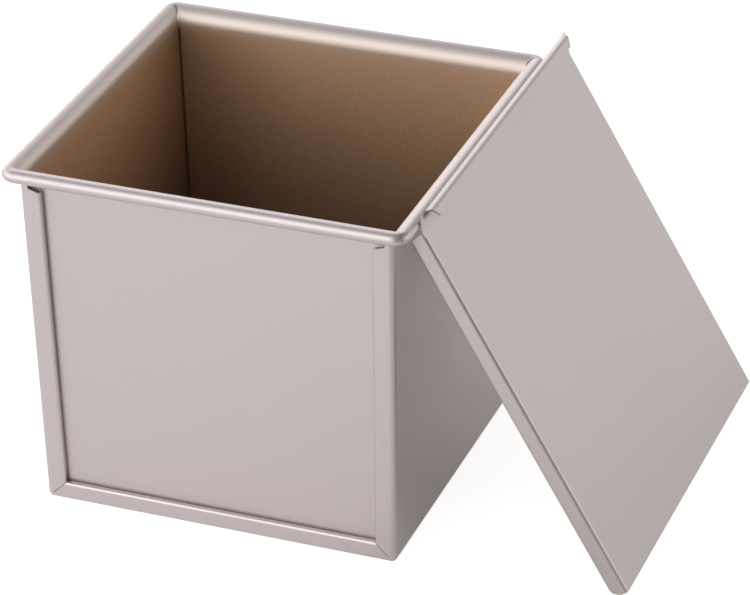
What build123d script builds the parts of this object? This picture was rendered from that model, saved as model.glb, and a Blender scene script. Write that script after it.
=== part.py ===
# Pullman loaf pan for a cube loaf: a box folded from coated steel sheet with a wired rim, and
# the sliding lid, taken off and leaning against the rim on the right.
# Millimetres, +Z up. The origin is the middle of the flat base, on the table. The front end
# panel faces -Y, and the lid leans on the +X side with its lower edge on the table.
import os
from math import atan2, cos, degrees, radians, sin

from build123d import *

os.makedirs("parts", exist_ok=True)

# Pan, overall
height = 98.0  # table to the top of the rim
mouth_width = 101.2  # over the side walls, carried up to the height of the rim
mouth_depth = 101.4  # over the frames of the two ends, carried up to the same height
base_width = 98.2
base_depth = 99.8
side_overhang = 4.4  # each side bead stands out this far past the mouth
end_overhang = 3.5  # and each end bead this far
rim_width = mouth_width + 2 * side_overhang
rim_depth = mouth_depth + 2 * end_overhang

# Sheet and bends
sheet = 0.6
bend_radius = 1.5  # outside of every bend of the wrap
overrun = 3.0  # how far a cut runs past the metal

# Rolled bead and its wire
bead_diameter = 3.4
bead_turn = 265.0  # degrees that the sheet is rolled round the wire
hollow_sides = 9  # flats that the hidden hollow of the bead is drawn with
wire_sides = 12  # and those of the wire in it
wire_clearance = 0.08
wire_ends_gap = 0.4  # the ends of the wire nearly meet, inside the back bead
corner_turn = 2.6  # radius of the bead's middle line where it turns a corner of the rim
corner_half_turn = 45  # degrees that each of two neighbouring beads turns to reach the seam
corner_gap = 0.15  # of that seam, measured along a side of the rim
bead_radius = bead_diameter / 2
wire_radius = bead_radius - sheet - wire_clearance
bead_x = rim_width / 2 - bead_radius
bead_y = rim_depth / 2 - bead_radius
bead_z = height - bead_radius
turn_x = bead_x - corner_turn
turn_y = bead_y - corner_turn

# Lock seam between the wrap and an end panel. From the outside its four layers are the
# wrap's strip, the panel's lip, the strip's return and the panel itself
seam_gap = 0.03  # left between two pressed layers
edge_gap = 0.12  # left between the edge of one layer and the fold that holds it
round_share = 0.49  # of the thickness of a fold, so that two fillets make it fully round
side_strip = 5.7  # width of the frame up the sides
base_strip = 5.4  # and along the base
mitre_gap = 0.16
mitre_reach = 2.4  # from the corner of the body to the start of the mitre cut
snip_inner_drop = 6.7  # from the rim down to the strip's cut top, at its inner edge
snip_outer_drop = 5.6  # and where the cut comes near the corner of the body
snip_reach = 2.3  # from the side of the body to that place
lip_drop = 1.2  # the panel's lip ends this far below the cut top
snip_inner = height - snip_inner_drop
snip_outer = height - snip_outer_drop
layer = sheet + seam_gap
strip_depth = 2 * layer + sheet
panel_depth = 3 * layer
panel_edge = sheet + edge_gap
panel_corner = 1.0  # rounded lower corners of an end panel

# Lid
lid_sheet = 0.5
rail_side_clearance = 0.1  # between a rail's flange and the bead it slides on
rail_height_clearance = 0.5  # up and down, between the bead and the rail
rail_lip = 3.4  # width of the lip that goes under the bead
rail_bend_radius = 1.2
rail_end_radius = 3.5  # rounded lower corner of each flange
rail_end_dip = 0.05  # the rounding's circle crosses the flange's edges instead of touching
rail_rake = 1.0  # the upper end of a flange slopes back by this much, with its corner cut
lid_width = rim_width + 2 * (rail_side_clearance + lid_sheet)
rail_depth = bead_diameter + rail_height_clearance + 2 * lid_sheet

# Handle, by the middle of its sheet and measured from the end of the flat
handle_inset = 0.3  # the slope is this much narrower than the lid, on each side
handle_start = 1.5  # the handle's first straight run lies in the flat
handle_reach = 3.85  # to the upright
handle_rise = 0.9  # outwards, to where the slope would meet the upright
handle_height = 3.35  # outwards, to where the upright would meet the free lip
handle_lip_reach = 2.85  # the free lip comes back over the lid
handle_lip_flare = 0.1  # and opens outwards
handle_foot_radius = 1.0
handle_slope_radius = 1.2
handle_lip_radius = 0.9
notch_level = 1.4  # the corners of the handle are notched from this far above the flat
notch_width = 3.4  # measured from the side of the lid, at the upright
notch_taper = 2.1  # the free lip is this much narrower again, on each side

# How the lid leans
lean = radians(29.8)  # from upright
lid_shift = 11.1  # middle of the lid, behind the middle of the pan
rest_gap = 0.12  # between the handle's slope and the bead that it leans on
bead_past_flat = 2.6  # along the lid, from the end of its flat to the middle of that bead

# Angles and planes of the tapered body
side_lean = atan2((mouth_width - base_width) / 2, height)
end_lean = atan2((mouth_depth - base_depth) / 2, height)
front = Plane(
    origin=(0, -base_depth / 2, 0),
    x_dir=(1, 0, 0),
    z_dir=(0, -cos(end_lean), -sin(end_lean)),
)


def half_width(z):
    """Half of the body's outside width at height z."""
    return (base_width + (mouth_width - base_width) * z / height) / 2


def half_depth(z):
    """Half of the body's outside depth at height z."""
    return (base_depth + (mouth_depth - base_depth) * z / height) / 2


def upright_outline(half, inset, low, high, mode=Mode.ADD):
    """Four-sided outline whose sides lie at an inset from the body's leaning sides."""
    lower = half(low) - inset
    upper = half(high) - inset
    Polygon((-lower, low), (lower, low), (upper, high), (-upper, high), align=None, mode=mode)


def end_outline(inset, low, high, mode=Mode.ADD):
    """The same on an end, where the body's width sets the outline."""
    upright_outline(half_width, inset, low, high, mode)


def flare_radius(bead_place, base_half, lean_angle, depth):
    """Radius of the flare, from a leaning face that lies depth inside the body's outside."""
    across = (bead_place - base_half) * cos(lean_angle) - height * sin(lean_angle)
    return (across + depth) / (1 - sin(lean_angle))


def rim_profile(bead_place, radius, lean_angle, leg):
    """Edge of the sheet: a leaning leg from height leg, the flare, and the bead.

    The inside of the pan is on the left and the bead is on the right."""
    centre = Vector(bead_place, height - radius)
    bead = Vector(bead_place, bead_z)
    outward = Vector(cos(lean_angle), -sin(lean_angle))
    upward = Vector(sin(lean_angle), cos(lean_angle))
    turn_end = radians(90 - bead_turn)
    tip = Vector(cos(turn_end), sin(turn_end))
    inner = centre - outward * radius
    outer = centre - outward * (radius - sheet)
    inner_foot = inner - upward * ((inner.Y - leg) / upward.Y)
    outer_foot = outer - upward * ((outer.Y - leg) / upward.Y)
    with BuildLine() as outline:
        Polyline(inner, inner_foot, outer_foot, outer)
        CenterArc(centre, radius, 90, 90 - degrees(lean_angle))
        CenterArc(centre, radius - sheet, 90, 90 - degrees(lean_angle))
        CenterArc(bead, bead_radius, 90, -bead_turn)
        turns = [radians(90 - bead_turn * k / hollow_sides) for k in range(hollow_sides + 1)]
        hollow = [bead + Vector(cos(turn), sin(turn)) * (bead_radius - sheet) for turn in turns]
        Polyline(*hollow, bead + tip * bead_radius)
    make_face(outline.edges())


def turned_rim_profile(bead_place, radius, lean_angle, leg):
    """The part of it that goes round a corner: what lies outside the axis of the turn."""
    rim_profile(bead_place, radius, lean_angle, leg)
    with Locations((bead_place - corner_turn, leg)):
        Rectangle(bead_place, height, align=(Align.MAX, Align.MIN), mode=Mode.SUBTRACT)


side_flare = flare_radius(bead_x, base_width / 2, side_lean, sheet)
end_flare = flare_radius(bead_y, base_depth / 2, end_lean, panel_depth + sheet)
wall_top = height - side_flare - sheet
panel_top = height - end_flare - sheet

# Seam between a side bead and an end bead, seen from above: from the inner corner of the
# walls to the axis of the turn, and from there outwards at half the turn
seam_x = half_width(wall_top) - sheet - corner_gap / 2
seam_y = half_depth(panel_top) - panel_depth - sheet
seam_out = corner_turn + bead_diameter

# Space inside the folded sheet
with BuildPart() as inside:
    with BuildSketch(Plane.XZ.offset(-rim_depth)):
        upright_outline(half_width, sheet / cos(side_lean), sheet, height)
    extrude(amount=2 * rim_depth)
    with BuildSketch(Plane.YZ.offset(-rim_width)):
        upright_outline(half_depth, sheet / cos(end_lean), sheet, height)
    extrude(amount=2 * rim_width, mode=Mode.INTERSECT)
    open_edges = faces().sort_by(Axis.Z)[-1].edges()
    fillet(edges().filter_by(lambda edge: edge not in open_edges), bend_radius - sheet)

# Hem of the front strips: outer layer, fully round fold at the window, and return
with BuildPart() as hem:
    with BuildSketch(front):
        end_outline(2 * panel_edge, 2 * panel_edge, snip_outer)
    extrude(amount=-strip_depth)
    with BuildSketch(front):
        end_outline(side_strip, base_strip, height)
    extrude(amount=-strip_depth, mode=Mode.SUBTRACT)
    window_x = half_width(height / 2) - side_strip
    window_edges = edges().filter_by(
        lambda edge: abs(edge.center().Z - base_strip) < sheet
        or abs(abs(edge.center().X) - window_x) < sheet
    )
    window_edges = window_edges.filter_by(lambda edge: abs(edge.tangent_at(0).Y) < round_share)
    window_edges = window_edges.filter_by(lambda edge: edge.center().Z < snip_inner)
    fillet(window_edges, strip_depth * round_share)
    with BuildSketch(front.offset(-sheet)):
        end_outline(0, 0, height)
        end_outline(side_strip - sheet, base_strip - sheet, height, mode=Mode.SUBTRACT)
    extrude(amount=-(layer + seam_gap), mode=Mode.SUBTRACT)

# Wrap: base, two side walls with their beads, and the strips folded round both ends.
# One quarter of it is shaped and then mirrored.
with BuildPart() as body_wrap:
    with BuildSketch(Plane.XZ.offset(-rim_depth)):
        upright_outline(half_width, 0, 0, wall_top)
    extrude(amount=2 * rim_depth)
    with BuildSketch(Plane.YZ.offset(-rim_width)):
        upright_outline(half_depth, 0, 0, wall_top)
    extrude(amount=2 * rim_width, mode=Mode.INTERSECT)
    open_edges = faces().sort_by(Axis.Z)[-1].edges()
    fillet(edges().filter_by(lambda edge: edge not in open_edges), bend_radius)
    add(inside.part, mode=Mode.SUBTRACT)
    # The window in the strips, wide enough to take in the round of the hem
    with BuildSketch(front.offset(overrun)):
        end_outline(side_strip - strip_depth, base_strip - strip_depth, height)
    extrude(amount=-(overrun + sheet + seam_gap), mode=Mode.SUBTRACT)
    add(hem.part)
    # Cut tops of the side strips
    with BuildSketch(front.offset(overrun)):
        snip_x = half_width(snip_outer) - snip_reach
        inner_x = half_width(snip_inner) - side_strip
        Polygon(
            (snip_x, height),
            (snip_x, snip_outer),
            (inner_x, snip_inner),
            (-inner_x, snip_inner),
            (-snip_x, snip_outer),
            (-snip_x, height),
            align=None,
        )
    extrude(amount=-(overrun + strip_depth + sheet), mode=Mode.SUBTRACT)
    # Mitre between the side strip and the base strip
    with BuildSketch(front.offset(overrun)):
        corner = Vector(half_width(0), 0)
        window_corner = Vector(half_width(base_strip) - side_strip, base_strip)
        along = (window_corner - corner).normalized()
        with BuildLine():
            Line(corner + along * mitre_reach, window_corner + along * overrun)
        trace(line_width=mitre_gap)
    extrude(amount=-(overrun + strip_depth), mode=Mode.SUBTRACT)
    split(bisect_by=Plane.XZ, keep=Keep.TOP)
    split(bisect_by=Plane.YZ, keep=Keep.TOP)
    # Flared and rolled edge, and its share of the turn at the corner
    with BuildSketch(Plane.XZ):
        rim_profile(bead_x, side_flare, side_lean, wall_top - sheet)
    extrude(amount=turn_y)
    with BuildSketch(Plane.XZ.offset(turn_y)):
        turned_rim_profile(bead_x, side_flare, side_lean, wall_top - sheet)
    revolve(axis=Axis((turn_x, -turn_y, 0), (0, 0, -1)), revolution_arc=corner_half_turn)
    # Cut along the seam
    with BuildSketch(Plane.XY.offset(wall_top)):
        with Locations((0, corner_gap / 2)):
            Polygon(
                (seam_x - overrun, -seam_y),
                (seam_x, -seam_y),
                (turn_x, -turn_y),
                (turn_x + seam_out, -turn_y - seam_out),
                (seam_x - overrun, -turn_y - seam_out),
                align=None,
            )
    extrude(amount=height - wall_top + overrun, mode=Mode.SUBTRACT)
    mirror(about=Plane.YZ)
    mirror(about=Plane.XZ)

# Front end panel: a plate folded forward on three sides into the lock seam, with its own bead.
# One half of it is shaped and then mirrored.
with BuildPart() as front_end_panel:
    with BuildSketch(front.offset(-layer)):
        end_outline(panel_edge, panel_edge, panel_top)
        fillet(vertices().sort_by(Axis.Y)[:2], panel_corner)
    extrude(amount=-(2 * layer + sheet))
    open_edges = faces().sort_by(Axis.Z)[-1].edges()
    fold_edges = edges().filter_by(lambda edge: edge not in open_edges)
    fold_edges = fold_edges.filter_by(lambda edge: abs(edge.tangent_at(0).Y) < round_share)
    fillet(fold_edges, (2 * layer + sheet) * round_share)
    # Slot that the strip's return goes into
    with BuildSketch(front.offset(-(layer + sheet))):
        end_outline(panel_edge + sheet, panel_edge + sheet, height)
    extrude(amount=-(layer + seam_gap), mode=Mode.SUBTRACT)
    # Front of the plate, clear of the lip, and above the lip
    with BuildSketch(front):
        end_outline(side_strip - panel_edge, base_strip - panel_edge, height)
        with BuildLine():
            Polyline(
                (-rim_width, snip_inner - lip_drop),
                (rim_width, snip_inner - lip_drop),
                (rim_width, height),
                (-rim_width, height),
                close=True,
            )
        make_face()
    extrude(amount=-panel_depth, mode=Mode.SUBTRACT)
    split(bisect_by=Plane.YZ, keep=Keep.TOP)
    # Flared and rolled edge, its share of the turn, and the cuts beside the wall and the seam
    with BuildSketch(Plane(origin=(0, 0, 0), x_dir=(0, -1, 0), z_dir=(-1, 0, 0))):
        rim_profile(bead_y, end_flare, end_lean, panel_top - sheet)
    extrude(amount=-turn_x)
    with BuildSketch(Plane(origin=(turn_x, 0, 0), x_dir=(0, -1, 0), z_dir=(-1, 0, 0))):
        turned_rim_profile(bead_y, end_flare, end_lean, panel_top - sheet)
    revolve(axis=Axis((turn_x, -turn_y, 0), (0, 0, 1)), revolution_arc=corner_half_turn)
    with BuildSketch(Plane.XY.offset(panel_top - sheet)):
        with Locations((seam_x, -seam_y)):
            Rectangle(overrun, overrun, align=(Align.MIN, Align.CENTER))
    extrude(amount=wall_top + seam_gap - panel_top + sheet, mode=Mode.SUBTRACT)
    with BuildSketch(Plane.XY.offset(wall_top)):
        with Locations((-corner_gap / 2, 0)):
            Polygon(
                (seam_x, overrun - seam_y),
                (seam_x, -seam_y),
                (turn_x, -turn_y),
                (turn_x + seam_out, -turn_y - seam_out),
                (turn_x + seam_out, overrun - seam_y),
                align=None,
            )
    extrude(amount=height - wall_top + overrun, mode=Mode.SUBTRACT)
    mirror(about=Plane.YZ)

# Back end panel
with BuildPart() as back_end_panel:
    mirror(front_end_panel.part, about=Plane.XZ)

# Wire inside the bead, all the way round
with BuildPart() as rim_wire:
    with BuildLine(Plane.XY.offset(bead_z)) as wire_path:
        FilletPolyline(
            (-wire_ends_gap / 2, bead_y),
            (-bead_x, bead_y),
            (-bead_x, -bead_y),
            (bead_x, -bead_y),
            (bead_x, bead_y),
            (wire_ends_gap / 2, bead_y),
            radius=corner_turn,
        )
    with BuildSketch(Plane(origin=wire_path.line @ 0, z_dir=wire_path.line % 0)):
        RegularPolygon(wire_radius, wire_sides)
    sweep()

# Place of the leaning lid: the flanges' rounded corners stand on the table, and the handle's
# slope lies on the side bead. The length of the flat follows from that and the lean.
slope = atan2(handle_rise + lid_sheet / 2, handle_reach)
end_middle = rail_depth + rail_end_dip - rail_end_radius
lid_foot = rail_end_radius - (rail_end_radius - rail_end_dip) * cos(lean) + end_middle * sin(lean)
slope_to_bead = lid_sheet / 2 + rest_gap + bead_radius
bead_under = (slope_to_bead - bead_past_flat * sin(slope)) / cos(slope) + lid_sheet / 2
bead_up_lid = (bead_z - lid_foot + bead_under * sin(lean)) / cos(lean)
lid_length = bead_up_lid - bead_past_flat
lid_x = bead_x + bead_up_lid * sin(lean) + bead_under * cos(lean)
lid_origin = (lid_x, lid_shift, lid_foot)
up_the_lid = (-sin(lean), 0, cos(lean))
across_lid = Plane(origin=lid_origin, x_dir=(0, 1, 0), z_dir=up_the_lid)
beside_lid = Plane(origin=lid_origin, x_dir=up_the_lid, z_dir=(0, 1, 0))
over_lid = Plane(origin=lid_origin, x_dir=up_the_lid, z_dir=(cos(lean), 0, sin(lean)))

# Lid: one sheet, folded into a rail along each side and curled into a handle at the top
with BuildPart() as lid:
    with BuildSketch(across_lid):
        with Locations((0, rail_depth / 2)):
            RectangleRounded(lid_width, rail_depth, rail_bend_radius)
            RectangleRounded(
                lid_width - 2 * lid_sheet,
                rail_depth - 2 * lid_sheet,
                rail_bend_radius - lid_sheet,
                mode=Mode.SUBTRACT,
            )
        with Locations((0, rail_depth)):
            Rectangle(lid_width - 2 * rail_lip, 2 * rail_bend_radius, mode=Mode.SUBTRACT)
    extrude(amount=lid_length)
    # Rounded lower corners of the flanges
    with BuildSketch(beside_lid.offset(-lid_width)):
        Polygon(
            (-overrun, -end_middle),
            (-overrun, -rail_depth - overrun),
            (rail_end_radius, -rail_depth - overrun),
            (rail_end_radius, -end_middle),
            align=None,
        )
        with Locations((rail_end_radius - rail_end_dip, -end_middle)):
            Circle(rail_end_radius, mode=Mode.SUBTRACT)
    extrude(amount=2 * lid_width, mode=Mode.SUBTRACT)
    # Raked upper ends of the flanges
    with BuildSketch(beside_lid.offset(-lid_width)):
        rake_x = lid_length - rail_rake
        Polygon(
            (lid_length, -lid_sheet),
            (rake_x, -rail_depth + rail_rake),
            (rake_x - rail_rake, -rail_depth - rail_end_dip),
            (rake_x - rail_rake, -rail_depth - overrun),
            (lid_length + overrun, -rail_depth - overrun),
            (lid_length + overrun, -lid_sheet),
            align=None,
        )
    extrude(amount=2 * lid_width, mode=Mode.SUBTRACT)
    # Handle
    with BuildSketch(beside_lid):
        with BuildLine():
            upright = lid_length + handle_reach
            Polyline(
                (lid_length - handle_start, -lid_sheet / 2),
                (lid_length, -lid_sheet / 2),
                (upright, handle_rise),
                (upright, handle_height),
                (upright - handle_lip_reach, handle_height + handle_lip_flare),
            )
            foot = vertices().sort_by(Axis.X)[1]
            fillet(foot, handle_foot_radius)
            bend = vertices().sort_by(Axis.X)[-2:].sort_by(Axis.Y)[0]
            fillet(bend, handle_slope_radius)
            curl = vertices().sort_by(Axis.Y)[-2]
            fillet(curl, handle_lip_radius)
        trace(line_width=lid_sheet)
    extrude(amount=lid_width / 2 - handle_inset, both=True)
    # Notched corners of the handle
    with BuildSketch(over_lid.offset(notch_level)):
        upright_side = lid_width / 2 - notch_width
        lip_side = upright_side - notch_taper
        lip_edge = upright - handle_lip_reach
        Polygon(
            (lip_edge - overrun, lip_side),
            (lip_edge, lip_side),
            (upright, upright_side),
            (upright + overrun, upright_side),
            (upright + overrun, lid_width),
            (lip_edge - overrun, lid_width),
            align=None,
        )
        mirror(about=Plane.XZ)
    extrude(amount=handle_height, mode=Mode.SUBTRACT)

body_wrap.part.label = "body_wrap"
front_end_panel.part.label = "front_end_panel"
back_end_panel.part.label = "back_end_panel"
rim_wire.part.label = "rim_wire"
lid.part.label = "lid"

export_step(body_wrap.part, "parts/body_wrap.step")
export_step(front_end_panel.part, "parts/front_end_panel.step")
export_step(back_end_panel.part, "parts/back_end_panel.step")
export_step(rim_wire.part, "parts/rim_wire.step")
export_step(lid.part, "parts/lid.step")
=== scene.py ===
# %% [markdown]
# # A folded loaf pan in a coated finish
#
# The pan is one sheet of steel folded into a base and two walls, with an end panel locked into
# each open end, and a lid with folded rails and a curled handle that leans against the rim. The
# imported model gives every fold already, so this lesson is about what is left: the coating, the
# floor and the room that the coating mirrors, and a camera that stands where the photographer
# stood.

import bpy
from math import cos, radians, sin
from mathutils import Matrix, Vector


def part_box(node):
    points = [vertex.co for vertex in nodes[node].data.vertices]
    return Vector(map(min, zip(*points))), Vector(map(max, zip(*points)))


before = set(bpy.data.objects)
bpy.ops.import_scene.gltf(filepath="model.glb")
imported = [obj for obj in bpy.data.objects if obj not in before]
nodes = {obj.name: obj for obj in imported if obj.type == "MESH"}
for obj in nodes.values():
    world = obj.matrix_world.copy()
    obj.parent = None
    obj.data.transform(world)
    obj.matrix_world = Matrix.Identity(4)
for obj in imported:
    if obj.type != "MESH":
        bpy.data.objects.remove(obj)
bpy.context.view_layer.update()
mm = 0.001


print("nodes:", sorted(nodes))

# %% [markdown]
# ## Where the camera stands
#
# A product photographer puts a long lens some way off, so that upright edges stay nearly
# parallel. The pan's rim, its base and the lid's long edges run along known lines, and the place
# below is the one from which all of them fall where the photograph shows them. An empty with a
# tracking constraint would also aim the camera, but three angles say the same thing plainly and
# leave nothing to follow later.

# %% Camera
IMAGE_WIDTH = 750  # dots across the picture
SENSOR_WIDTH = 36.0  # millimetres, along the long side of the picture
FOCAL_PIXELS = 3787.9  # focal length in widths of one picture dot
CAMERA_PLACE = (344.38, -805.23, 536.08)  # millimetres from the middle of the base
CAMERA_AZIMUTH = radians(21.615)  # round to the right of the front
CAMERA_ELEVATION = radians(29.432)
CAMERA_ROLL = radians(-1.266)
FARTHEST_SEEN = 50  # metres, well past the floor's far edge


def camera_axes(azimuth, elevation, roll):
    """Right, up and backward directions of a camera that looks at the object from there."""
    back = Vector((sin(azimuth) * cos(elevation), -cos(azimuth) * cos(elevation), sin(elevation)))
    level = Vector((cos(azimuth), sin(azimuth), 0))
    above = back.cross(level)
    right = level * cos(roll) + above * sin(roll)
    up = above * cos(roll) - level * sin(roll)
    return right, up, back


camera_data = bpy.data.cameras.new("photo_camera")
camera = bpy.data.objects.new("photo_camera", camera_data)
bpy.context.scene.collection.objects.link(camera)
camera_data.sensor_width = SENSOR_WIDTH
camera_data.lens = FOCAL_PIXELS * SENSOR_WIDTH / IMAGE_WIDTH
camera_data.clip_end = FARTHEST_SEEN
turn = Matrix(camera_axes(CAMERA_AZIMUTH, CAMERA_ELEVATION, CAMERA_ROLL)).transposed().to_4x4()
camera.matrix_world = Matrix.Translation(Vector(CAMERA_PLACE) * mm) @ turn
bpy.context.scene.camera = camera
print("lens in mm:", round(camera_data.lens, 1))

# %% [markdown]
# ## Colours
#
# Colours are written as hex values in the display's own scale, as a designer notes them, and a
# shader needs them linear. One function does that for every colour in this file, so no number
# has to be converted by hand.


# %% Linear colours
def linear(hex_colour):
    """RGBA in linear light from a value such as "B8A89E", by the display standard's own curve."""
    parts = [int(hex_colour[i : i + 2], 16) / 255 for i in (0, 2, 4)]
    return [c / 12.92 if c <= 0.04045 else ((c + 0.055) / 1.055) ** 2.4 for c in parts] + [1.0]


print("mid grey in linear light:", round(linear("808080")[0], 3))

# %% [markdown]
# ## Adding shader nodes
#
# A node tree written out by hand repeats three steps for every node: make it, set its values,
# link its inputs. One helper takes the three together, so that the recipes further down read
# like a list of ingredients. Many nodes carry hidden sockets for the kinds of value that they
# aren't set to, with the same names as the visible ones, and the helper passes over those.


# %% One helper for shader nodes
def add_node(tree, kind, settings=None, inputs=None):
    """A new node of that kind.

    An input goes by its name, or by its number where several have the same name. Its value is
    a number, a colour, another node's output, or a node, which means its first visible output.
    """
    node = tree.nodes.new(kind)
    for name, value in (settings or {}).items():
        setattr(node, name, value)
    visible = [socket for socket in node.inputs if socket.enabled]
    by_name = {socket.name: socket for socket in visible}
    for key, value in (inputs or {}).items():
        socket = by_name[key] if key in by_name else visible[key]
        if isinstance(value, bpy.types.Node):
            value = next(output for output in value.outputs if output.enabled)
        if isinstance(value, bpy.types.NodeSocket):
            tree.links.new(value, socket)
        else:
            socket.default_value = value
    return node


def new_material(name):
    """An empty node material and its tree."""
    material = bpy.data.materials.new(name)
    material.use_nodes = True
    material.node_tree.nodes.clear()
    return material, material.node_tree


print("helpers:", add_node.__name__, new_material.__name__)

# %% [markdown]
# ## The body's own measures
#
# The finish inside the pan is not the finish outside, yet both are on one sheet, and so on one
# node. To tell the two faces apart a shader needs to know where the middle of the sheet lies.
# The walls are flat and lean outwards evenly, so half the width at any height is a straight
# line between two of the sizes that the pan was drawn with. Splitting the mesh would work too,
# but a rule in the shader leaves the model's mesh alone.

# %% Sizes of the body
rim_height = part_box("body_wrap")[1].z
SHEET = 0.6 * mm
BASE_HALF_WIDTH = 49.1 * mm
MOUTH_HALF_WIDTH = 50.6 * mm
BASE_HALF_DEPTH = 49.9 * mm
MOUTH_HALF_DEPTH = 50.7 * mm
END_PLATE_DEPTH = 2.19 * mm  # from the outside of the frame to the middle of the end plate
side_lean = (MOUTH_HALF_WIDTH - BASE_HALF_WIDTH) / rim_height
end_lean = (MOUTH_HALF_DEPTH - BASE_HALF_DEPTH) / rim_height
print("rim height in mm:", round(rim_height / mm, 2))
print("lean of sides and ends:", round(side_lean, 4), round(end_lean, 4))

# %% [markdown]
# ## A soft step across a leaning sheet
#
# A point on the inner face of a wall lies nearer the pan's axis than the middle of the sheet,
# and one on the outer face lies farther out. A soft step that is narrower than the sheet is
# thick tells the two apart, and a wider one would bleed through. Up on the rim the sheet flares
# out, away from the straight line, so there the step reaches outwards with it.

# %% One side of a leaning sheet
SMOOTH = {"interpolation_type": "SMOOTHSTEP"}
HALF_STEP = 0.15 * mm
FLARE_STEP = 3.4 * mm  # how far out the step reaches on the flare
FLARE_STARTS = 5.2 * mm  # below the top of the rim
FLARE_IS_OUT = 2.8 * mm  # below the top of the rim


def step_below(tree, value, limit_base, limit_lean, height):
    """One where value is below limit_base + limit_lean * height, and zero past it."""
    limit = add_node(
        tree,
        "ShaderNodeMath",
        {"operation": "MULTIPLY_ADD"},
        {0: height, 1: limit_lean, 2: limit_base},
    )
    gap = add_node(tree, "ShaderNodeMath", {"operation": "SUBTRACT"}, {0: limit, 1: value})
    start = add_node(
        tree,
        "ShaderNodeMapRange",
        None,
        {
            "Value": height,
            "From Min": rim_height - FLARE_STARTS,
            "From Max": rim_height - FLARE_IS_OUT,
            "To Min": -HALF_STEP,
            "To Max": -FLARE_STEP,
        },
    )
    return add_node(
        tree,
        "ShaderNodeMapRange",
        SMOOTH,
        {"Value": gap, "From Min": start, "From Max": HALF_STEP},
    )


print("step and flare step in mm:", 2 * HALF_STEP / mm, round(FLARE_STEP / mm, 1))

# %% [markdown]
# ## A mask for the inside of the pan
#
# A point is on the pan's inside if it lies inside the middle of the side walls, inside the
# middle of the end plates and above the middle of the base. The product of the three steps is a
# mask that is one inside and zero outside. An attribute painted on the mesh could carry it too,
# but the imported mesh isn't changed here. The mask reads Object coordinates only, so it stays
# put when the pan moves.

# %% Inside of the pan
MULTIPLY = {"operation": "MULTIPLY"}


def inside_mask(tree, axes):
    """One on the faces that look into the pan, zero on the others."""
    height = axes.outputs["Z"]
    across, along = (
        add_node(tree, "ShaderNodeMath", {"operation": "ABSOLUTE"}, {0: axes.outputs[axis]})
        for axis in "XY"
    )
    side = step_below(tree, across, BASE_HALF_WIDTH - SHEET / 2, side_lean, height)
    end = step_below(tree, along, BASE_HALF_DEPTH - END_PLATE_DEPTH, end_lean, height)
    above_base = add_node(
        tree,
        "ShaderNodeMapRange",
        None,
        {"Value": height, "From Min": SHEET / 4, "From Max": 3 * SHEET / 4},
    )
    walls = add_node(tree, "ShaderNodeMath", MULTIPLY, {0: side, 1: end})
    return add_node(tree, "ShaderNodeMath", MULTIPLY, {0: walls, 1: above_base})


print("middle of the base in mm:", SHEET / 2 / mm)

# %% [markdown]
# ## Where the handle's curl is hollow
#
# The lid's upper edge is curled into a handle: a slope, an upright and a lip that turns back.
# Hardly any light gets into that curl. The sheet there looks almost black beside its bright cut
# edge, and the thin dark line is what shows the curl at this size. The hollow can be fenced in
# with planes: three run through the thickness of the lip, the upright and the slope, one ends
# it down along the lid, and two end it across the lid, before the handle's notched corners.

# %% Planes round the hollow
LEAN = radians(29.8)  # of the lid, back from the vertical
SLOPE = radians(16.6)  # of the handle's foot, out of the lid's plane
LID_SHEET = 0.5 * mm
UPRIGHT_HEIGHT = 2.8 * mm  # from the handle's outer face down to the top of its slope
SKIN = (0.36 * mm, 0.48 * mm)  # depths in the sheet between which the hollow starts
SLOPE_SKIN = (0.1 * mm, 0.22 * mm)  # the same, from the middle of the slope's sheet
LOWER_END = (2.6 * mm, 0.8 * mm)  # below the handle's top
NEAR_END = (-43 * mm, -41.5 * mm)
FAR_END = (62.2 * mm, 60.7 * mm)
up_lid = Vector((-sin(LEAN), 0, cos(LEAN)))
off_lid = Vector((cos(LEAN), 0, sin(LEAN)))
off_slope = off_lid * cos(SLOPE) - up_lid * sin(SLOPE)
away = Vector((0, 1, 0))
lid_points = [vertex.co for vertex in nodes["lid"].data.vertices]
curl_top = max(point @ up_lid for point in lid_points)
curl_out = max(point @ off_lid for point in lid_points)
slope_top = up_lid * (curl_top - LID_SHEET / 2) + off_lid * (curl_out - UPRIGHT_HEIGHT)
slope_plane = off_slope @ slope_top
# Each row has a direction, and how far along it the hollow starts and is full.
CURL_PLANES = [
    (-up_lid, SKIN[0] - curl_top, SKIN[1] - curl_top),
    (-off_lid, SKIN[0] - curl_out, SKIN[1] - curl_out),
    (off_slope, slope_plane + SLOPE_SKIN[0], slope_plane + SLOPE_SKIN[1]),
    (up_lid, curl_top - LOWER_END[0], curl_top - LOWER_END[1]),
    (away, NEAR_END[0], NEAR_END[1]),
    (-away, -FAR_END[0], -FAR_END[1]),
]
print("curl top and outer face in mm:", round(curl_top / mm, 2), round(curl_out / mm, 2))

# %% [markdown]
# ## A mask for the hollow
#
# The distance of a point along a direction is a dot product, so one node measures it and one
# soft step turns it into a part of the mask. A loop over the planes multiplies the six steps.
# Painting the edge by hand would be quicker once, but these planes follow the lid's own sizes.


# %% Hollow of the handle
def curl_mask(tree, place):
    """One on the faces that look into the handle's curl, zero on the others."""
    mask = 1.0
    for direction, start, full in CURL_PLANES:
        along = add_node(
            tree, "ShaderNodeVectorMath", {"operation": "DOT_PRODUCT"}, {0: place, 1: direction}
        )
        step = add_node(
            tree,
            "ShaderNodeMapRange",
            SMOOTH,
            {"Value": along, "From Min": start, "From Max": full},
        )
        mask = add_node(tree, "ShaderNodeMath", MULTIPLY, {0: mask, 1: step})
    return mask


print("planes round the hollow:", len(CURL_PLANES))

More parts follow.
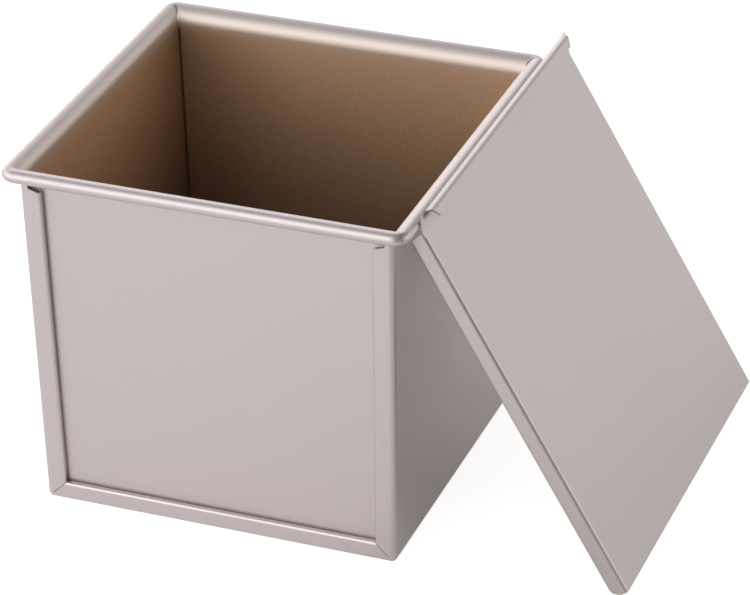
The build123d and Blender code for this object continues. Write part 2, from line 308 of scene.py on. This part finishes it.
# %% [markdown]
# ## A baked silicone coating over steel
#
# The finish is a non-stick coating with fine metal flake in it, sprayed on and baked. Seen
# close it is neither paint nor bare metal. The spray leaves a fine even grain, a touch darker
# where the droplets lie thick, and over a few centimetres the coat itself is thicker or
# thinner. Both could be painted as an image, but a noise at the size of the droplets gives the
# same grain on every face, without a seam anywhere.

# %% Grain and clouds of the spray
GRAIN_SIZE = 0.45 * mm  # drawn coarser than the real droplets, which are too fine to show
GRAIN_LAYERS = 2.0  # of finer noise over the first
GRAIN_SHARE = 0.6  # of each finer layer
CLOUD_SIZE = 28 * mm
CLOUD_LAYERS = 1.0
MIX_COLOURS = {"data_type": "RGBA"}


def spray_patterns(tree, place):
    """The fine grain of the droplets, and the slow clouds in the thickness of the coat."""
    grain = add_node(
        tree,
        "ShaderNodeTexNoise",
        None,
        {
            "Vector": place,
            "Scale": 1 / GRAIN_SIZE,
            "Detail": GRAIN_LAYERS,
            "Roughness": GRAIN_SHARE,
        },
    )
    cloud = add_node(
        tree,
        "ShaderNodeTexNoise",
        None,
        {"Vector": place, "Scale": 1 / CLOUD_SIZE, "Detail": CLOUD_LAYERS},
    )
    return grain, cloud


def grained_colour(tree, grain, light, dark):
    """A coat's light and dark shade, mixed by the grain."""
    return add_node(
        tree,
        "ShaderNodeMix",
        MIX_COLOURS,
        {"Factor": grain, "A": linear(dark), "B": linear(light)},
    )


print("grain and clouds in mm:", GRAIN_SIZE / mm, CLOUD_SIZE / mm)

# %% [markdown]
# ## Satin from metal flake
#
# The flake makes the coating reflect like a metal of a warm, pale rose colour, and the baked
# resin that holds it keeps it from being all metal. The grain dents the surface by hundredths
# of a millimetre and spreads each reflection into a satin sheen. A clear coat over paint could
# be tried, but it adds a second, sharp reflection, and this finish has only the soft one.

# %% Satin finish
COAT_METALLIC = 0.92
CLOUD_ROUGHNESS = 0.04  # added to the coat's roughness where the clouds are densest
GRAIN_BUMP = 0.12  # strength of the dents
GRAIN_DEPTH = 0.02 * mm


def satin_finish(tree, colour, gloss, grain, cloud):
    """The coating's shader. It scatters light softly and keeps a metal's colour."""
    roughness = add_node(
        tree,
        "ShaderNodeMath",
        {"operation": "MULTIPLY_ADD"},
        {0: cloud, 1: CLOUD_ROUGHNESS, 2: gloss},
    )
    dents = add_node(
        tree,
        "ShaderNodeBump",
        None,
        {"Height": grain, "Strength": GRAIN_BUMP, "Distance": GRAIN_DEPTH},
    )
    coat = add_node(
        tree,
        "ShaderNodeBsdfPrincipled",
        None,
        {
            "Base Color": colour,
            "Metallic": COAT_METALLIC,
            "Roughness": roughness,
            "Normal": dents,
        },
    )
    add_node(tree, "ShaderNodeOutputMaterial", None, {"Surface": coat})


print("depth of the grain in mm:", GRAIN_DEPTH / mm)

# %% [markdown]
# ## Gold inside
#
# The inside carries a deeper, golden shade of the coating. Light that falls in goes from wall
# to wall and takes on that colour at each bounce, so the base and the far left corner look
# deeper still. A render that follows every bounce would give this by itself. A quicker one
# follows few, so the rest is painted shade: the colour darkens towards the base and that corner.

# %% Colour of the inside
INSIDE_COLOUR = "FFE0BE"
INSIDE_DARK = "CAA687"
# Painted shade: the colour that the inside darkens to at the base
PAINTED_SHADE_AT_BASE = "968170"
FULL_COLOUR_HEIGHT = 0.9 * rim_height
# Painted shade in the far left corner, where bounced light would darken the inside
CORNER_STARTS = 0.2  # nought along the middle of the pan, one in the far left corner
CORNER_SHADE = 0.72  # of the colour, in that corner


def inside_colour(tree, axes, grain):
    """The coat's gold, with painted shade deeper towards the base and the far left corner."""
    wall = grained_colour(tree, grain, INSIDE_COLOUR, INSIDE_DARK)
    depth = add_node(
        tree,
        "ShaderNodeMapRange",
        SMOOTH,
        {"Value": axes.outputs["Z"], "From Min": 0, "From Max": FULL_COLOUR_HEIGHT},
    )
    deep = add_node(
        tree, "ShaderNodeMix", MIX_COLOURS, {"Factor": depth, "A": linear(PAINTED_SHADE_AT_BASE), "B": wall}
    )
    leftward, backward = (
        add_node(
            tree,
            "ShaderNodeMapRange",
            None,
            {"Value": axes.outputs[axis], "From Min": 0, "From Max": end},
        )
        for axis, end in (("X", -MOUTH_HALF_WIDTH), ("Y", MOUTH_HALF_DEPTH))
    )
    corner = add_node(tree, "ShaderNodeMath", MULTIPLY, {0: leftward, 1: backward})
    shade = add_node(
        tree,
        "ShaderNodeMapRange",
        SMOOTH,
        {
            "Value": corner,
            "From Min": CORNER_STARTS,
            "From Max": 1.0,
            "To Min": 1.0,
            "To Max": CORNER_SHADE,
        },
    )
    return add_node(
        tree, "ShaderNodeVectorMath", {"operation": "SCALE"}, {"Vector": deep, "Scale": shade}
    )


print("inside, from wall to base:", INSIDE_COLOUR, INSIDE_DARK, PAINTED_SHADE_AT_BASE)

# %% [markdown]
# ## From the inside out over the flare
#
# Under the bead the wall flares out and turns its face up to the open light. The gold gives way
# to a pale, slightly rougher coat there, which runs as a light line all the way round the
# mouth. A second material on those faces would end in a hard edge, and a soft step by height
# fades one into the other as the spray does.

# %% Colour of the mouth
FLARE_COLOUR = "E6DAD2"
MOUTH_STARTS = 7.2 * mm  # below the top of the rim
MOUTH_IS_FLARED = 1.6 * mm  # below the top of the rim

pan_coating, tree = new_material("sprayed_coating_pan")
place = add_node(tree, "ShaderNodeTexCoord").outputs["Object"]
axes = add_node(tree, "ShaderNodeSeparateXYZ", None, {0: place})
grain, cloud = spray_patterns(tree, place)
flared = add_node(
    tree,
    "ShaderNodeMapRange",
    SMOOTH,
    {
        "Value": axes.outputs["Z"],
        "From Min": rim_height - MOUTH_STARTS,
        "From Max": rim_height - MOUTH_IS_FLARED,
    },
)
inner_colour = add_node(
    tree,
    "ShaderNodeMix",
    MIX_COLOURS,
    {"Factor": flared, "A": inside_colour(tree, axes, grain), "B": linear(FLARE_COLOUR)},
)
print("height of the fade in mm:", round((MOUTH_STARTS - MOUTH_IS_FLARED) / mm, 1))

# %% [markdown]
# ## The pan's coating as a whole
#
# Outside, the coat is a pale rose grey and smoother, and a little rougher again on the beads,
# where rolling has stretched it. The mask of the inside chooses between the two colours and
# between the two kinds of gloss, so one material covers the wrap and both ends. Three materials
# would need the mesh cut where they meet.

# %% Coating of the pan
OUTSIDE_COLOUR = "D2C7C8"
OUTSIDE_DARK = "C6BCBD"
INSIDE_ROUGHNESS = 0.55
FLARE_ROUGHNESS = 0.56
OUTSIDE_ROUGHNESS = 0.36
BEAD_ROUGHNESS = 0.43
BEAD_STARTS = 4 * mm  # below the top of the rim
BEAD_IS_ROUND = 2.8 * mm  # below the top of the rim
mask = inside_mask(tree, axes)
outer_colour = grained_colour(tree, grain, OUTSIDE_COLOUR, OUTSIDE_DARK)
colour = add_node(
    tree, "ShaderNodeMix", MIX_COLOURS, {"Factor": mask, "A": outer_colour, "B": inner_colour}
)
inner_gloss = add_node(
    tree,
    "ShaderNodeMapRange",
    None,
    {"Value": flared, "To Min": INSIDE_ROUGHNESS, "To Max": FLARE_ROUGHNESS},
)
outer_gloss = add_node(
    tree,
    "ShaderNodeMapRange",
    None,
    {
        "Value": axes.outputs["Z"],
        "From Min": rim_height - BEAD_STARTS,
        "From Max": rim_height - BEAD_IS_ROUND,
        "To Min": OUTSIDE_ROUGHNESS,
        "To Max": BEAD_ROUGHNESS,
    },
)
gloss = add_node(
    tree, "ShaderNodeMapRange", None, {"Value": mask, "To Min": outer_gloss, "To Max": inner_gloss}
)
satin_finish(tree, colour, gloss, grain, cloud)
for name in ("body_wrap", "front_end_panel", "back_end_panel"):
    nodes[name].material_slots[0].material = pan_coating
print("pan's coating:", len(tree.nodes), "nodes")

# %% [markdown]
# ## The lid's coating
#
# The lid was sprayed the same way, and looks slightly more neutral and more matt beside the
# pan. It has no inside of its own, but its handle has the hollow that the planes above fence in.
# Light alone leaves that hollow paler than the photograph shows it, so the colour goes down to a
# third there. A darker lid would reach the same line, and lose the rest of the lid.

# %% Coating of the lid
LID_COLOUR = "CDC4C2"
LID_DARK = "C3BAB8"
LID_ROUGHNESS = 0.42
CURL_SHADE = 0.3  # of the coat's colour, in the hollow
lid_coating, tree = new_material("sprayed_coating_lid")
place = add_node(tree, "ShaderNodeTexCoord").outputs["Object"]
grain, cloud = spray_patterns(tree, place)
plain_colour = grained_colour(tree, grain, LID_COLOUR, LID_DARK)
shade = add_node(
    tree,
    "ShaderNodeMapRange",
    None,
    {"Value": curl_mask(tree, place), "To Min": 1.0, "To Max": CURL_SHADE},
)
colour = add_node(
    tree, "ShaderNodeVectorMath", {"operation": "SCALE"}, {"Vector": plain_colour, "Scale": shade}
)
satin_finish(tree, colour, LID_ROUGHNESS, grain, cloud)
nodes["lid"].material_slots[0].material = lid_coating
print("lid's coating:", len(tree.nodes), "nodes")

# %% [markdown]
# ## The wire in the rim
#
# A plain steel wire lies inside the rolled bead and can't be seen once the bead is closed. It
# still gets the finish of drawn wire, a cool grey metal whose shine is broken by fine marks, in
# case the model is taken apart. The marks could run along the wire if its mesh carried
# coordinates for that. It carries none, and at this size an even noise looks the same.

# %% Drawn steel wire
WIRE_COLOUR = "A9A8A5"
WIRE_MARK = 0.2 * mm
WIRE_LAYERS = 3.0  # of finer marks
WIRE_SMOOTHEST = 0.28
WIRE_ROUGHEST = 0.42
wire_steel, tree = new_material("drawn_steel_wire")
place = add_node(tree, "ShaderNodeTexCoord").outputs["Object"]
marks = add_node(
    tree,
    "ShaderNodeTexNoise",
    None,
    {"Vector": place, "Scale": 1 / WIRE_MARK, "Detail": WIRE_LAYERS},
)
roughness = add_node(
    tree,
    "ShaderNodeMapRange",
    None,
    {"Value": marks, "To Min": WIRE_SMOOTHEST, "To Max": WIRE_ROUGHEST},
)
steel = add_node(
    tree,
    "ShaderNodeBsdfPrincipled",
    None,
    {"Base Color": linear(WIRE_COLOUR), "Metallic": 1.0, "Roughness": roughness},
)
add_node(tree, "ShaderNodeOutputMaterial", None, {"Surface": steel})
nodes["rim_wire"].material_slots[0].material = wire_steel
print("wire marks in mm:", WIRE_MARK / mm)

# %% [markdown]
# ## A sheet of white paper
#
# The pan stands on a ground that runs out of the picture on every side. A curved studio
# backdrop would hide the horizon from one side only, and the pan is looked at from all round,
# so one flat square much larger than the view lies at the height of the pan's base.

# %% Floor sheet
FLOOR_SIZE = 6000 * mm
half = FLOOR_SIZE / 2
floor_corners = [(-half, -half, 0), (half, -half, 0), (half, half, 0), (-half, half, 0)]
floor_mesh = bpy.data.meshes.new("floor")
floor_mesh.from_pydata(floor_corners, [], [(0, 1, 2, 3)])
floor = bpy.data.objects.new("floor", floor_mesh)
bpy.context.scene.collection.objects.link(floor)
print("floor in m:", FLOOR_SIZE)

# %% [markdown]
# ## How bright the floor is in the metal
#
# The lower half of what the pan mirrors is the table. It was white on the left and fell off to
# the right, and far behind the pan it was white again. Right beside the pan the leaning lid
# keeps the light from it. Cards laid round the pan would do the same, but they would be seen in
# other views. Here three soft steps over the floor say how much of it glows for the metal.

# %% Glow of the floor by place
# Each row has the axis, where the step starts and ends, and the share of the glow there.
FLOOR_STEPS = {
    "table": ("X", -80 * mm, 310 * mm, 1.0, 0.0),
    "far behind": ("Y", 30 * mm, 210 * mm, 0.0, 1.0),
}
UNDER_LID = Vector((66, -30, 0)) * mm
LID_SHADE = 0.28  # taken from the glow right under the lid
SHADE_CORE = 15 * mm  # from there
SHADE_EDGE = 60 * mm
MAXIMUM = {"operation": "MAXIMUM"}

floor_paper, tree = new_material("floor_paper")
floor_mesh.materials.append(floor_paper)
place = add_node(tree, "ShaderNodeTexCoord").outputs["Object"]
axes = add_node(tree, "ShaderNodeSeparateXYZ", None, {0: place})
share = {}
for name, (axis, start, end, before, after) in FLOOR_STEPS.items():
    limits = {"From Min": start, "From Max": end, "To Min": before, "To Max": after}
    share[name] = add_node(
        tree, "ShaderNodeMapRange", SMOOTH, {"Value": axes.outputs[axis], **limits}
    )
from_lid = add_node(
    tree, "ShaderNodeVectorMath", {"operation": "DISTANCE"}, {0: place, 1: UNDER_LID}
)
limits = {"From Min": SHADE_CORE, "From Max": SHADE_EDGE, "To Min": LID_SHADE, "To Max": 0.0}
lid_shade = add_node(tree, "ShaderNodeMapRange", SMOOTH, {"Value": from_lid, **limits})
open_table = add_node(
    tree,
    "ShaderNodeMath",
    {"operation": "SUBTRACT", "use_clamp": True},
    {0: share["table"], 1: lid_shade},
)
glowing = add_node(tree, "ShaderNodeMath", MAXIMUM, {0: open_table, 1: share["far behind"]})
print("steps over the floor:", list(share), "and the lid's shade of", LID_SHADE)

# %% [markdown]
# ## Paper that runs into the background
#
# The photograph's ground is pure white and meets the background with no line. Raising the lamps
# until a grey floor turns white would wash the pan out as well. Here the floor is a pale matt
# paper that adds a little light of its own to what the camera sees directly, less of it to what
# the metal mirrors, and none to the light on the pan. The pan's soft shadow stays on it.

# %% Floor paper
FLOOR_COLOUR = "EDEBE9"
FLOOR_GLOW_SEEN = 0.8  # to the camera
FLOOR_GLOW_MIRRORED = 0.42  # in the metal
WHITE = linear("FFFFFF")


def kinds_of_ray(tree):
    """Two flags: seen straight by the camera or through glass, and mirrored in the metal."""
    path = add_node(tree, "ShaderNodeLightPath")
    straight = add_node(
        tree,
        "ShaderNodeMath",
        MAXIMUM,
        {0: path.outputs["Is Camera Ray"], 1: path.outputs["Is Transmission Ray"]},
    )
    return straight, path.outputs["Is Glossy Ray"]


straight, mirrored = kinds_of_ray(tree)
matt = add_node(tree, "ShaderNodeBsdfDiffuse", None, {"Color": linear(FLOOR_COLOUR)})
metal_level = add_node(tree, "ShaderNodeMath", MULTIPLY, {0: glowing, 1: FLOOR_GLOW_MIRRORED})
glow_seen, glow_mirrored = (
    add_node(tree, "ShaderNodeEmission", None, {"Color": WHITE, "Strength": strength})
    for strength in (FLOOR_GLOW_SEEN, metal_level)
)
for_camera, for_metal = (
    add_node(tree, "ShaderNodeAddShader", None, {0: matt, 1: glow})
    for glow in (glow_seen, glow_mirrored)
)
in_metal = add_node(
    tree, "ShaderNodeMixShader", None, {"Fac": mirrored, 1: matt, 2: for_metal}
)
seen = add_node(
    tree, "ShaderNodeMixShader", None, {"Fac": straight, 1: in_metal, 2: for_camera}
)
add_node(tree, "ShaderNodeOutputMaterial", None, {"Surface": seen})
print("floor glow, seen and mirrored:", FLOOR_GLOW_SEEN, FLOOR_GLOW_MIRRORED)

# %% [markdown]
# ## Levels of the room
#
# A satin metal has hardly a colour of its own: what the eye reads as its shape is the room in
# it. In the photograph every bead is bright on its left, dark on its right and dark along its
# top, so the room was white to the left, open and unlit to the right, and its ceiling was grey.
# Walls and cards could be built as meshes, but the world can be that room for mirrored rays at
# no cost, and it stays out of every view. Each of its steps reads one axis of the ray's
# direction, which runs from -1 to 1.

# %% Room by direction
ROOM_LEFT = 1.8
ROOM_RIGHT = 0.5
CEILING = 0.32  # of the level below it
SHEET_BEHIND = 1.0
SHEET_RIGHT = 1.6  # of the sheet's level, where it comes round to the right
# Each row has the axis, where the step starts and ends, and the level before and after it.
ROOM_STEPS = {
    "left to right": ("X", -0.6, 0.4, ROOM_LEFT, ROOM_RIGHT),
    "up to the ceiling": ("Z", 0.48, 0.8, 1.0, CEILING),
    "on the right": ("X", 0.1, 0.5, 0.0, 1.0),
    "in front": ("Y", -0.15, -0.5, 0.0, 1.0),
    "low": ("Z", 0.34, 0.56, 1.0, 0.0),
    "behind": ("Y", -0.35, -0.05, 0.0, 1.0),
    "sheet": ("X", 0.7, 0.95, SHEET_BEHIND, SHEET_BEHIND * SHEET_RIGHT),
}

world = bpy.data.worlds.new("white_studio")
bpy.context.scene.world = world
world.use_nodes = True
world.cycles.sampling_method = "NONE"  # so that Light Path tells every ray's kind
tree = world.node_tree
tree.nodes.clear()
direction = add_node(tree, "ShaderNodeTexCoord").outputs["Generated"]
axes = add_node(tree, "ShaderNodeSeparateXYZ", None, {0: direction})
level = {}
for name, (axis, start, end, before, after) in ROOM_STEPS.items():
    limits = {"From Min": start, "From Max": end, "To Min": before, "To Max": after}
    level[name] = add_node(
        tree, "ShaderNodeMapRange", SMOOTH, {"Value": axes.outputs[axis], **limits}
    )
print("steps of the room:", len(level))

# %% [markdown]
# ## Walls, an unlit corner and a sheet behind
#
# The walls are the level across times the level up. To the right of the camera the room was
# almost black, which is what the lower part of the right wall mirrors. A white sheet stood low
# behind the table and came round to the right, brighter there: it draws the light line along
# the fold of the lid. Whichever of walls and sheet is brighter is what the metal sees.

# %% Room in the metal
UNLIT_CORNER = 0.05  # of the walls' level
walls = add_node(
    tree, "ShaderNodeMath", MULTIPLY, {0: level["left to right"], 1: level["up to the ceiling"]}
)
corner = add_node(
    tree, "ShaderNodeMath", MULTIPLY, {0: level["on the right"], 1: level["in front"]}
)
unlit = add_node(
    tree, "ShaderNodeMapRange", None, {"Value": corner, "To Min": 1.0, "To Max": UNLIT_CORNER}
)
room = add_node(tree, "ShaderNodeMath", MULTIPLY, {0: walls, 1: unlit})
sheet_place = add_node(tree, "ShaderNodeMath", MULTIPLY, {0: level["low"], 1: level["behind"]})
sheet = add_node(tree, "ShaderNodeMath", MULTIPLY, {0: sheet_place, 1: level["sheet"]})
mirrored_room = add_node(tree, "ShaderNodeMath", MAXIMUM, {0: room, 1: sheet})
print("room from left to right:", ROOM_LEFT, ROOM_RIGHT, "sheet:", SHEET_BEHIND)

# %% [markdown]
# ## One world for three kinds of ray
#
# The camera sees plain white behind the floor. Mirrored rays see the room. Every other ray is
# light that falls on the pan and the floor from all round, and gets one even level. A picture
# of a studio wrapped round the scene would serve all three at once, and could not be tuned one
# by one.

# %% World
WORLD_LEVEL = 0.55  # light that the room gives to matt surfaces
SEEN_LEVEL = 1.0  # white
MIX_NUMBERS = {"data_type": "FLOAT"}
straight, mirrored = kinds_of_ray(tree)
matt_or_metal = add_node(
    tree,
    "ShaderNodeMix",
    MIX_NUMBERS,
    {"Factor": mirrored, "A": WORLD_LEVEL, "B": mirrored_room},
)
strength = add_node(
    tree, "ShaderNodeMix", MIX_NUMBERS, {"Factor": straight, "A": matt_or_metal, "B": SEEN_LEVEL}
)
background = add_node(
    tree, "ShaderNodeBackground", None, {"Color": WHITE, "Strength": strength}
)
add_node(tree, "ShaderNodeOutputWorld", None, {"Surface": background})
print("matt level and seen level:", WORLD_LEVEL, SEEN_LEVEL)

# %% [markdown]
# ## Soft light
#
# A broad softbox stands low in front and to the left, so that the front shines and the right
# wall falls back, as it does in the photograph. A smaller and weaker one hangs higher and
# lights the rim from above. A sun or a point lamp would light the pan too, but a satin coating
# shows every lamp as a patch of its own shape, and only a large patch has soft edges.

# %% Softboxes
AIM = Vector((20, 0, 50)) * mm  # a little to the right of the pan's middle
# Each row has a place and the side of the square in millimetres, and the power in watts.
SOFTBOXES = {
    "key_softbox": ((-420, -960, 520), 1100, 2.3),
    "top_softbox": ((-200, -600, 850), 500, 0.6),
}
for name, (place, side, watts) in SOFTBOXES.items():
    light = bpy.data.lights.new(name, "AREA")
    light.shape = "SQUARE"
    light.size = side * mm
    light.energy = watts
    lamp = bpy.data.objects.new(name, light)
    bpy.context.scene.collection.objects.link(lamp)
    lamp.location = Vector(place) * mm
    lamp.rotation_mode = "QUATERNION"
    lamp.rotation_quaternion = (AIM - lamp.location).to_track_quat("-Z", "Y")
    print(name, "distance in mm:", round((AIM - lamp.location).length / mm))

# %% [markdown]
# ## Colour management
#
# The picture is shown as it is lit, with no film curve over it, so that a colour written above
# comes out about as written. A filmic curve would look kinder in the highlights and turn every
# colour greyer.

# %% Finish
bpy.context.scene.view_settings.view_transform = "Standard"
